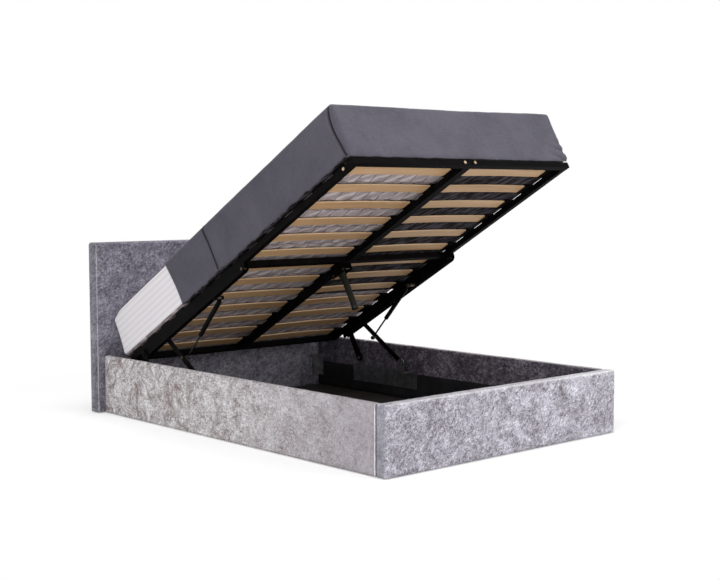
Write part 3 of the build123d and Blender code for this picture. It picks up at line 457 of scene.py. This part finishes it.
FINISH = {
    "board": BOARD,
    "velvet": VELVET,
    "lining": LINING,
    "floor_board": FLOOR_BOARD,
    "zinc_steel": ZINC,
    "black_steel": BLACK_STEEL,
    "brass_plated": BRASS,
    "strut_black": STRUT_BLACK,
    "rod_steel": CHROME,
    "black_plastic": BLACK_PLASTIC,
    "birch": BIRCH,
    "ticking": TICKING,
    "bedspread": BEDSPREAD,
}
OWN_FINISH = {"centre_leg": LEG_STEEL, "strut_studs": DULL_BRASS, "arm_stud_bolts": DULL_BRASS}
for part in frame["record"]["subparts"]:
    mesh = NODES[part["node"]].data
    mesh.materials.clear()
    mesh.materials.append(OWN_FINISH.get(part["node"], FINISH[part["material_slot"]]))


# Mesh making


def lines(low, high, step, low_round, high_round, extra=()):
    """Grid lines from low to high, closer together in the rounded ends."""
    inner_low, inner_high = low + low_round, high - high_round
    found = {round(low, 4), round(high, 4), round(inner_low, 4), round(inner_high, 4)}
    for r, start, sign in ((low_round, inner_low, -1), (high_round, inner_high, 1)):
        if r:
            for i in range(1, 5):
                found.add(round(start + sign * r * math.tan(math.pi / 4 * i / 4), 4))
    count = max(1, round((inner_high - inner_low) / step))
    for i in range(1, count):
        found.add(round(inner_low + (inner_high - inner_low) * i / count, 4))
    for value in extra:
        found.add(round(value, 4))
    return sorted(found)


def padded_skin(low, high, radii_low, radii_high, step, keep, extra=((), (), ())):
    """The surface of a box with rounded edges, as points and quads, without the faces
    that keep(centre, axis, end) turns down."""
    axes = [lines(low[i], high[i], step, radii_low[i], radii_high[i], extra[i]) for i in range(3)]
    radius = max(*radii_low, *radii_high)
    inner_low = [low[i] + radii_low[i] for i in range(3)]
    inner_high = [high[i] - radii_high[i] for i in range(3)]
    points, index, quads = [], {}, []

    def rounded(p):
        core = [min(max(p[i], inner_low[i]), inner_high[i]) for i in range(3)]
        out = Vector([p[i] - core[i] for i in range(3)])
        if sum(1 for value in out if abs(value) > 1e-6) < 2:
            return tuple(p)
        return tuple(Vector(core) + out.normalized() * radius)

    def vertex(p):
        key = tuple(p)
        if key not in index:
            index[key] = len(points)
            points.append(rounded(p))
        return index[key]

    for axis in range(3):
        u, v = [i for i in range(3) if i != axis]
        for end, value in enumerate((low[axis], high[axis])):
            for a0, a1 in zip(axes[u], axes[u][1:]):
                for b0, b1 in zip(axes[v], axes[v][1:]):
                    corners = []
                    for a, b in ((a0, b0), (a1, b0), (a1, b1), (a0, b1)):
                        p = [0.0, 0.0, 0.0]
                        p[axis], p[u], p[v] = value, a, b
                        corners.append(p)
                    centre = [sum(p[i] for p in corners) / 4 for i in range(3)]
                    if not keep(centre, axis, end):
                        continue
                    face = [vertex(p) for p in corners]
                    if (end == 0) == (axis != 1):
                        face.reverse()
                    quads.append(face)
    return points, quads


def new_piece(name, points, faces, material, body, place=in_room):
    mesh = bpy.data.meshes.new(name)
    mesh.from_pydata([place(*p) for p in points], [], faces)
    mesh.materials.append(material)
    mesh.polygons.foreach_set("use_smooth", [True] * len(mesh.polygons))
    mesh.validate()
    mesh.update()
    piece = bpy.data.objects.new(name, mesh)
    bpy.context.scene.collection.objects.link(piece)
    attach(piece, body)
    return piece


def apply_modifiers(piece):
    graph = bpy.context.evaluated_depsgraph_get()
    mesh = bpy.data.meshes.new_from_object(piece.evaluated_get(graph))
    old = piece.data
    piece.modifiers.clear()
    piece.data = mesh
    bpy.data.meshes.remove(old)


def thicken(piece, thickness):
    """Gives a skin its thickness, inwards."""
    modifier = piece.modifiers.new("thickness", "SOLIDIFY")
    modifier.thickness = thickness * MM
    modifier.offset = -1.0
    apply_modifiers(piece)


def displaced(points, quads, amount):
    """Moves each point along its own normal by amount(point, normal)."""
    bm = bmesh.new()
    made = [bm.verts.new(p) for p in points]
    for face in quads:
        bm.faces.new([made[i] for i in face])
    bm.normal_update()
    moved = []
    for v in made:
        n = v.normal.copy()
        moved.append(tuple(v.co + n * amount(v.co, n)))
    bm.free()
    return moved


# Velvet panels

PANEL_ROUND, HEADBOARD_ROUND = 12.0, 14.0
PANEL_GRID = 12.0
VELVET_SKIN = 2.0
END_PINCH, END_PINCH_DEPTH = 14.0, 2.5
INNER_CRUSH = 0.3
FOOT_PIPING, HEADBOARD_PIPING = 3.3, 3.0


def crush(p, n):
    """Small swells of the padding, and the shallow dents of the pressed pile."""
    swell = fractal(p.x / 160, p.y / 160, p.z / 120, 2) * 0.9
    dents = fractal(p.x / 26, p.y / 26, p.z / 26, 3) * 0.55
    return min(1.6, max(-1.0, swell + dents))


def side_panel(side, tag):
    low_x, high_x = sorted((side * INNER_HALF, side * OUTER_HALF))
    inner_end = 0 if side > 0 else 1

    def keep(centre, axis, end):
        if axis == 2 and end == 0:
            return False
        if axis == 1:
            return False
        return not (axis == 0 and end == inner_end and centre[2] < TURN_IN)

    points, quads = padded_skin(
        (low_x, FOOT_BACK, HEM), (high_x, HEADBOARD_FACE, PANEL_TOP),
        (PANEL_ROUND, 0, 0), (PANEL_ROUND, 0, PANEL_ROUND), PANEL_GRID, keep, ((), (), (TURN_IN,)),
    )

    def amount(p, n):
        ends = min(p.y - FOOT_BACK, HEADBOARD_FACE - p.y)
        pinch = smooth(0, END_PINCH, ends)
        if side * p.x < INNER_HALF + 6:
            return crush(p, n) * pinch * INNER_CRUSH
        return crush(p, n) * pinch - END_PINCH_DEPTH * (1 - pinch)

    points = displaced(points, quads, amount)
    piece = new_piece(f"side_velvet_{tag}", points, quads, LIT_SIDE_VELVET, "base")
    piece.data.materials.append(SHADED_INNER_VELVET)
    # painted shade: the inward faces take the darker inner velvet
    for face in piece.data.polygons:
        if face.normal.x * side < -0.6:
            face.material_index = 1
    thicken(piece, VELVET_SKIN)
    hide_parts(f"side_cover_{tag}")


def foot_panel():
    def keep(centre, axis, end):
        if axis == 2 and end == 0:
            return False
        inside = abs(centre[0]) < INNER_HALF and centre[2] < TURN_IN
        return not (axis == 1 and end == 1 and inside)

    points, quads = padded_skin(
        (-OUTER_HALF, FOOT_FACE, HEM), (OUTER_HALF, FOOT_BACK, PANEL_TOP),
        (PANEL_ROUND, PANEL_ROUND, 0), (PANEL_ROUND,) * 3, PANEL_GRID, keep,
        ((-INNER_HALF, INNER_HALF), (), (TURN_IN,)),
    )

    def amount(p, n):
        return crush(p, n) * (INNER_CRUSH if p.y > FOOT_BACK - 6 else 1.0)

    points = displaced(points, quads, amount)
    piece = new_piece("foot_velvet", points, quads, VELVET, "base")
    piece.data.materials.append(SHADED_INNER_VELVET)
    # painted shade: the inward faces take the darker inner velvet
    for face in piece.data.polygons:
        if face.normal.y > 0.6:
            face.material_index = 1
    thicken(piece, VELVET_SKIN)
    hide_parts("foot_cover")


def headboard():
    def keep(centre, axis, end):
        return not (axis == 2 and end == 0)

    points, quads = padded_skin(
        (-HEADBOARD_HALF, HEADBOARD_FACE, HEM), (HEADBOARD_HALF, CLOTH_FACE, HEADBOARD_TOP),
        (HEADBOARD_ROUND, HEADBOARD_ROUND, 0), (HEADBOARD_ROUND, 0, HEADBOARD_ROUND), PANEL_GRID, keep,
    )

    def amount(p, n):
        back = smooth(CLOTH_FACE, CLOTH_FACE - 10, p.y)
        return crush(p, n) * back

    points = displaced(points, quads, amount)
    piece = new_piece("headboard_velvet", points, quads, SHADED_HEADBOARD_VELVET, "base")
    thicken(piece, VELVET_SKIN)
    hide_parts("headboard_cover")


def piping(name, route, radius, material):
    """A covered cord sewn into a seam, slightly uneven, with closed ends."""
    around = 8
    points, faces = [], []
    route = [Vector(p) for p in route]
    for i, p in enumerate(route):
        ahead = (route[min(i + 1, len(route) - 1)] - route[max(i - 1, 0)]).normalized()
        first = ahead.cross(Vector((0.37, 0.81, 0.45))).normalized()
        second = ahead.cross(first)
        grown = radius * (1 + 0.12 * fractal(p.x / 20, p.y / 20, p.z / 20, 2))
        for j in range(around):
            turn = math.tau * j / around
            points.append(tuple(p + grown * (first * math.cos(turn) + second * math.sin(turn))))
    for i in range(len(route) - 1):
        for j in range(around):
            k = (j + 1) % around
            faces.append((i * around + j, i * around + k, (i + 1) * around + k, (i + 1) * around + j))
    faces.append(tuple(range(around)))
    faces.append(tuple(reversed(range(len(points) - around, len(points)))))
    piece = new_piece(name, points, faces, material, "base")


def upright(x, y, low, high, step=12.0):
    count = round((high - low) / step)
    return [(x, y, low + (high - low) * i / count) for i in range(count + 1)]


side_panel(-1, "left")
side_panel(1, "right")
foot_panel()
headboard()
# the cords are paler than the panels beside them: a painted highlight along the seams
for side, tag in ((-1, "left"), (1, "right")):
    seam = upright(side * (OUTER_HALF + 0.5), FOOT_BACK + 1, 6, PANEL_TOP - 9)
    piping(f"foot_piping_{tag}", seam, FOOT_PIPING, HIGHLIGHT_PIPING)
    seam = upright(side * (HEADBOARD_HALF - 5), HEADBOARD_FACE + 5, 6, HEADBOARD_TOP - 10)
    piping(f"headboard_piping_{tag}", seam, HEADBOARD_PIPING, SOFT_HIGHLIGHT_PIPING)


# Flat cloths of the base


def flat_cloth(name, low, high, across):
    """A thin cloth with a slight ripple on its high face, across its own plane."""
    points, quads = padded_skin(low, high, (0, 0, 0), (0, 0, 0), 30.0, lambda *a: True)
    middle = (low[across] + high[across]) / 2
    moved = []
    for p in points:
        p = list(p)
        if p[across] > middle:
            p[across] += 0.25 * fractal(p[0] / 90, p[1] / 90, p[2] / 60, 2)
        moved.append(tuple(p))
    piece = new_piece(name, moved, quads, LINING, "base")
    return piece


lining = flat_cloth("lining_left", (-683, FOOT_BACK, 4), (-680, HEADBOARD_FACE, TURN_IN),
                    0)
flat_cloth("lining_right", (680, FOOT_BACK, 4), (683, HEADBOARD_FACE, TURN_IN),
           0)
flat_cloth("lining_foot", (-679.7, FOOT_BACK - 3, 4), (679.7, FOOT_BACK, TURN_IN),
           1)
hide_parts("storage_lining")
back = flat_cloth("back_cloth", (-744, 1058, 8), (744, 1060, 842), 1)
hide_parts("headboard_back_cloth")


# Mattress

MATTRESS_ROUND, MATTRESS_GRID = 22.0, 12.5
QUILT_PITCH, QUILT_DEPTH = 110.0, 6.0
FAR_FOOT_RISE = 15.0
HEAD_SLOPE, HEAD_DROP = 120.0, 18.0
FAR_EDGE_SINK = 12.0


def mattress_shape(x, s, h, grow):
    """Crown, drawn-in sides and end slopes, laid over a rounded box."""
    half = MATTRESS_HALF + grow
    share = abs(x) / half
    tall = (h - MATTRESS_BASE) / MATTRESS_HEIGHT
    end = min(1.0, max(0.0, min(s, MATTRESS_LENGTH - s) / 400.0))
    crown = (3.0 + 5.0 * smooth(0, 1, end)) * (1 - share * share)
    up = h + crown * smooth(0.6, 1.0, tall)
    waist = 4.0 * (1 - (2 * tall - 1) ** 2) if 0 <= tall <= 1 else 0.0
    inward = waist * smooth(half - 60, half, abs(x))
    # the covered foot end stands a little higher towards the far side
    up += FAR_FOOT_RISE * smooth(0, 640, x) * smooth(900, 0, s) * smooth(0.3, 1.0, tall)
    slope = smooth(HEAD_SLOPE, 0, MATTRESS_LENGTH - s) * tall
    return x - math.copysign(inward, x), s, up - HEAD_DROP * slope * slope


def mattress():
    points, quads = padded_skin(
        (-MATTRESS_HALF, 0, MATTRESS_BASE),
        (MATTRESS_HALF, MATTRESS_LENGTH, MATTRESS_BASE + MATTRESS_HEIGHT),
        (MATTRESS_ROUND,) * 3, (MATTRESS_ROUND,) * 3, MATTRESS_GRID, lambda *a: True,
    )
    moved = []
    for p in points:
        x, s, h = mattress_shape(*p, 0)
        if p[2] < MATTRESS_BASE + 1:
            first = math.sin(math.pi * (x + s) / QUILT_PITCH)
            second = math.sin(math.pi * (x - s) / QUILT_PITCH)
            inset = min(MATTRESS_HALF - abs(x), s, MATTRESS_LENGTH - s) - MATTRESS_ROUND
            h += QUILT_DEPTH * (1 - (abs(first) * abs(second)) ** 0.6) * smooth(0, 30, inset)
        # the far edge sinks beside the rail where no cover holds it
        h -= FAR_EDGE_SINK * smooth(60, 8, h) * smooth(660, 669, x) * smooth(1360, 1420, s)
        moved.append((x, s, h))
    piece = new_piece("mattress_body", moved, quads, TICKING, "platform", place=on_platform)
    piece.data.materials.append(QUILT)
    for face in piece.data.polygons:
        if face.normal.dot(UP) < -0.75:
            face.material_index = 1
    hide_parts("mattress")


mattress()


# Bedspread

COVER_TOP, COVER_BOTTOM, HEM_SEAM = 1369.0, 1333.0, 1020.0
GROW, UNDER_GROW = 3.6, 1.6
COVER_ROUND, COVER_GRID, COVER_SKIN = 18.0, 10.0, 1.2
NEAR_TUCK, FAR_TUCK = 34.0, 652.0
SAG, SAG_PLAY, FOOT_SAG_PLAY = 17.0, 11.0, 4.0
LOW_HALF = 678.5


def pleat_line(tall):
    """How far behind the foot edge the corner pleat runs, at a share of the height."""
    fall = min(1.0, max(0.0, 1 - tall))
    return 10 + 24 * math.sin(math.pi * fall ** 0.75)


def bedspread():
    low = (-MATTRESS_HALF - GROW, -GROW, MATTRESS_BASE - UNDER_GROW + 0.2)
    high = (MATTRESS_HALF + GROW, COVER_TOP, MATTRESS_BASE + MATTRESS_HEIGHT + GROW + 4)
    near = -MATTRESS_HALF + NEAR_TUCK
    far = MATTRESS_HALF - FAR_TUCK
    seam = [HEM_SEAM + step for step in (-12, -8, -5, -3, -1, 1, 3, 5, 8, 12)]
    corner = [18 + 3.0 * i for i in range(14)]

    def keep(centre, axis, end):
        if axis == 1 and end == 1:
            return False
        if axis == 2 and end == 0 and centre[1] > 60:
            return not near < centre[0] < far
        return True

    points, quads = padded_skin(
        low, high, (COVER_ROUND,) * 3, (COVER_ROUND, 0, COVER_ROUND), COVER_GRID, keep,
        ((near, far, -MATTRESS_HALF + 6, -MATTRESS_HALF + 12), (*corner, 60.0, *seam), (22.0, 28.0, 34.0)),
    )
    fold_shades = []

    def amount(p, n):
        tall = (p.z - MATTRESS_BASE) / MATTRESS_HEIGHT
        # painted shade on the cover's underside, in uneven streaks, fading out near the foot edge
        if n.z < -0.5:
            crease = fractal(p.x / 22 + p.y / 30, p.y / 60, 5.0, 3)
            behind = smooth(8, 30, p.y)
            fold_shades.append(min(0.98, max(0.5, 0.84 + 0.8 * crease)) * behind)
            return 0.0
        d = 0.9 * fractal(p.x / 190, p.y / 230, p.z / 150, 3)
        d += 0.7 * fractal(p.x / 60, p.y / 70, p.z / 90, 2)
        fold_shade = 0.0
        # the corner pleat, with painted shade along its crease
        if p.x < -MATTRESS_HALF + 8 and p.y < 90:
            off = p.y - pleat_line(tall)
            depth = smooth(1.0, 0.86, tall) * smooth(-0.02, 0.06, tall)
            d += 4.5 * bump_at(off, 10, 8) * depth
            d -= 3.0 * bump_at(off, 0, 4) * depth
            fold_shade = max(fold_shade, bump_at(off, 0.5, 4.6) * smooth(1.01, 0.97, tall))
        # the hem seam, with painted shade in its groove, and a fainter line across the top
        if abs(p.x) > MATTRESS_HALF - 12 and abs(p.y - HEM_SEAM) < 30:
            off = p.y - HEM_SEAM
            d += 1.6 * bump_at(off, -7, 5) - 2.2 * bump_at(off, 0, 3)
            fold_shade = max(fold_shade, 0.97 * bump_at(off, 0, 7.5) * smooth(-0.02, 0.1, tall))
        elif n.z > 0.5:
            off = p.y - HEM_SEAM
            d += 1.2 * bump_at(off, -7, 5) - 1.0 * bump_at(off, 0, 3)
            fold_shade = max(fold_shade, 0.6 * bump_at(off, 0, 3.0))
        # gathers where the far foot corner is pulled under, with painted shade in their hollows
        if p.x > MATTRESS_HALF - 150 and p.y < 40 and n.y < -0.3:
            reach = (MATTRESS_HALF - p.x) / 150
            run = p.z - MATTRESS_BASE - 10 - 60 * reach
            pull = smooth(1.0, 0.2, reach) * smooth(0.6, 0.15, tall)
            d += 4.0 * pull * math.sin(run / 6.5 + 1.5 * reach)
            fold_shade = max(fold_shade, 0.35 * pull * max(0.0, -math.sin(run / 6.5 + 1.5 * reach)))
        # soft pull lines where the cloth goes under the near side and the foot
        under = smooth(0.30, 0.0, tall)
        along = p.y if abs(n.x) > 0.5 else p.x
        d += under * 2.2 * fractal(along / 34, 3.0, p.z / 120, 2)
        # painted shade along the cover's lower edge, weak on the foot face
        edge_shade = 0.85 if p.x > MATTRESS_HALF - 60 else 0.8
        if n.y < -0.4:
            edge_shade = 0.1
        fold_shade = max(fold_shade, edge_shade * smooth(0.07, -0.02, tall))
        fold_shades.append(fold_shade)
        return max(-2.2, d)

    points = displaced(points, quads, amount)
    moved = []
    for x, s, h in points:
        tall = min(1.0, max(0.0, (h - MATTRESS_BASE) / MATTRESS_HEIGHT))
        edge = COVER_BOTTOM + (COVER_TOP - COVER_BOTTOM) * tall
        s = s * (1 + (edge - COVER_TOP) / COVER_TOP * smooth(300, COVER_TOP, s))
        x, s, h = mattress_shape(x, s, h, GROW)
        # the cloth sags past the rail's top edge in uneven lobes
        lobe = 0.5 + 0.9 * fractal(s / 55, x / 55, 7.0, 3)
        far_head = smooth(980, 1020, s) * smooth(662, 671, x)
        outside = max(smooth(662, 671, -x), smooth(12, 1, s), far_head)
        uneven = FOOT_SAG_PLAY if s < 14 else SAG_PLAY
        h -= (SAG - uneven * (1 - min(1.0, max(0.0, lobe)))) * smooth(60, 8, h) * outside
        if h < 60:
            x = math.copysign(min(abs(x), LOW_HALF), x)
        moved.append((x, s, h))
    piece = new_piece("bedspread", moved, quads, BEDSPREAD, "platform", place=on_platform)
    # the painted shade of the folds, which the cloth's material reads
    dark = piece.data.attributes.new("fold_shade", "FLOAT", "POINT")
    dark.data.foreach_set("value", fold_shades)
    thicken(piece, COVER_SKIN)
    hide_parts("mattress_cover")


bedspread()


# Camera, floor and light

YAW, PITCH, ROLL = math.radians(41.996), math.radians(4.266), math.radians(0.135)
forward = Vector((math.sin(YAW) * math.cos(PITCH), math.cos(YAW) * math.cos(PITCH), -math.sin(PITCH)))
right = Vector((math.cos(YAW), -math.sin(YAW), 0))
down = forward.cross(right)
right, down = (right * math.cos(ROLL) + down * math.sin(ROLL),
               down * math.cos(ROLL) - right * math.sin(ROLL))
camera_data = bpy.data.cameras.new("camera")
camera_data.sensor_fit = "HORIZONTAL"
camera_data.sensor_width = 36.0
camera_data.lens = 63.13
camera_data.clip_end = 100.0
camera = bpy.data.objects.new("camera", camera_data)
turn = Matrix((right, -down, -forward)).transposed()
camera.matrix_world = Matrix.Translation((-3.951, -4.5115, 1.0781)) @ turn.to_4x4()
bpy.context.scene.collection.objects.link(camera)
bpy.context.scene.camera = camera


def picture_rays(nodes, links):
    """1 for rays from the camera and for those by way of metal or glass, 0 for the rest."""
    path = nodes.new("ShaderNodeLightPath")
    found = path.outputs["Is Camera Ray"]
    for kind in ("Is Glossy Ray", "Is Transmission Ray"):
        either = nodes.new("ShaderNodeMath")
        either.operation = "MAXIMUM"
        links.new(found, either.inputs[0])
        links.new(path.outputs[kind], either.inputs[1])
        found = either.outputs[0]
    return found


def studio():
    """A pale floor that keeps the shadow and fades into the white of the world."""
    mesh = bpy.data.meshes.new("studio_floor")
    reach = 14.0
    mesh.from_pydata(
        [(-reach, -reach, 0), (reach, -reach, 0), (reach, reach, 0), (-reach, reach, 0)], [], [(0, 1, 2, 3)]
    )
    floor = bpy.data.objects.new("studio_floor", mesh)
    bpy.context.scene.collection.objects.link(floor)
    material = bpy.data.materials.new("studio_floor")
    material.use_nodes = True
    nodes, links = material.node_tree.nodes, material.node_tree.links
    lit = nodes["Principled BSDF"]
    lit.inputs["Base Color"].default_value = (0.86, 0.86, 0.86, 1)
    lit.inputs["Roughness"].default_value = 0.9
    lit.inputs["Specular IOR Level"].default_value = 0.0
    glow = nodes.new("ShaderNodeEmission")
    glow.inputs["Color"].default_value = (1, 1, 1, 1)
    glow.inputs["Strength"].default_value = 1.0
    lift = nodes.new("ShaderNodeEmission")
    lift.inputs["Color"].default_value = (1, 1, 1, 1)
    coords = nodes.new("ShaderNodeTexCoord")
    length = nodes.new("ShaderNodeVectorMath")
    length.operation = "LENGTH"
    links.new(coords.outputs["Object"], length.inputs[0])
    spread = nodes.new("ShaderNodeMapRange")
    spread.inputs["From Min"].default_value = 1.2
    spread.inputs["From Max"].default_value = 2.5
    links.new(length.outputs["Value"], spread.inputs["Value"])
    seen = picture_rays(nodes, links)
    far = nodes.new("ShaderNodeMath")
    far.operation = "MULTIPLY"
    links.new(spread.outputs["Result"], far.inputs[0])
    links.new(seen, far.inputs[1])
    raised = nodes.new("ShaderNodeMath")
    raised.operation = "MULTIPLY"
    raised.inputs[1].default_value = 0.3
    links.new(seen, raised.inputs[0])
    links.new(raised.outputs[0], lift.inputs["Strength"])
    paled = nodes.new("ShaderNodeAddShader")
    links.new(lit.outputs["BSDF"], paled.inputs[0])
    links.new(lift.outputs["Emission"], paled.inputs[1])
    mixed = nodes.new("ShaderNodeMixShader")
    links.new(far.outputs[0], mixed.inputs["Fac"])
    links.new(paled.outputs["Shader"], mixed.inputs[1])
    links.new(glow.outputs["Emission"], mixed.inputs[2])
    links.new(mixed.outputs["Shader"], nodes["Material Output"].inputs["Surface"])
    mesh.materials.append(material)


def lamp(name, location, target, size, power):
    data = bpy.data.lights.new(name, "AREA")
    data.shape = "RECTANGLE"
    data.size, data.size_y = size
    data.energy = power
    light = bpy.data.objects.new(name, data)
    light.location = location
    light.rotation_euler = (Vector(target) - Vector(location)).to_track_quat("-Z", "Y").to_euler()
    bpy.context.scene.collection.objects.link(light)


studio()
lamp("key", (-4.0, -2.3, 3.4), (0, 0.1, 0.5), (2.6, 2.6), 95.0)
lamp("front", (2.2, -4.6, 2.4), (0, -0.4, 0.5), (2.4, 2.4), 76.0)
lamp("overhead", (0.2, 0.4, 4.4), (0, 0, 0), (3.0, 3.0), 80.0)
lamp("low_fill", (-1.9, -3.4, 0.45), (0, 0.3, 0.8), (1.8, 0.9), 22.0)

world = bpy.data.worlds.new("world")
bpy.context.scene.world = world
world.use_nodes = True
world_nodes, world_links = world.node_tree.nodes, world.node_tree.links
ambient = world_nodes["Background"]
ambient.inputs["Color"].default_value = (1, 1, 1, 1)
ambient.inputs["Strength"].default_value = 0.42
shown = world_nodes.new("ShaderNodeBackground")
shown.inputs["Color"].default_value = (1, 1, 1, 1)
shown.inputs["Strength"].default_value = 1.0
choice = world_nodes.new("ShaderNodeMixShader")
world_links.new(picture_rays(world_nodes, world_links), choice.inputs["Fac"])
world_links.new(ambient.outputs["Background"], choice.inputs[1])
world_links.new(shown.outputs["Background"], choice.inputs[2])
world_links.new(choice.outputs["Shader"], world_nodes["World Output"].inputs["Surface"])

bpy.context.scene.view_settings.view_transform = "Standard"
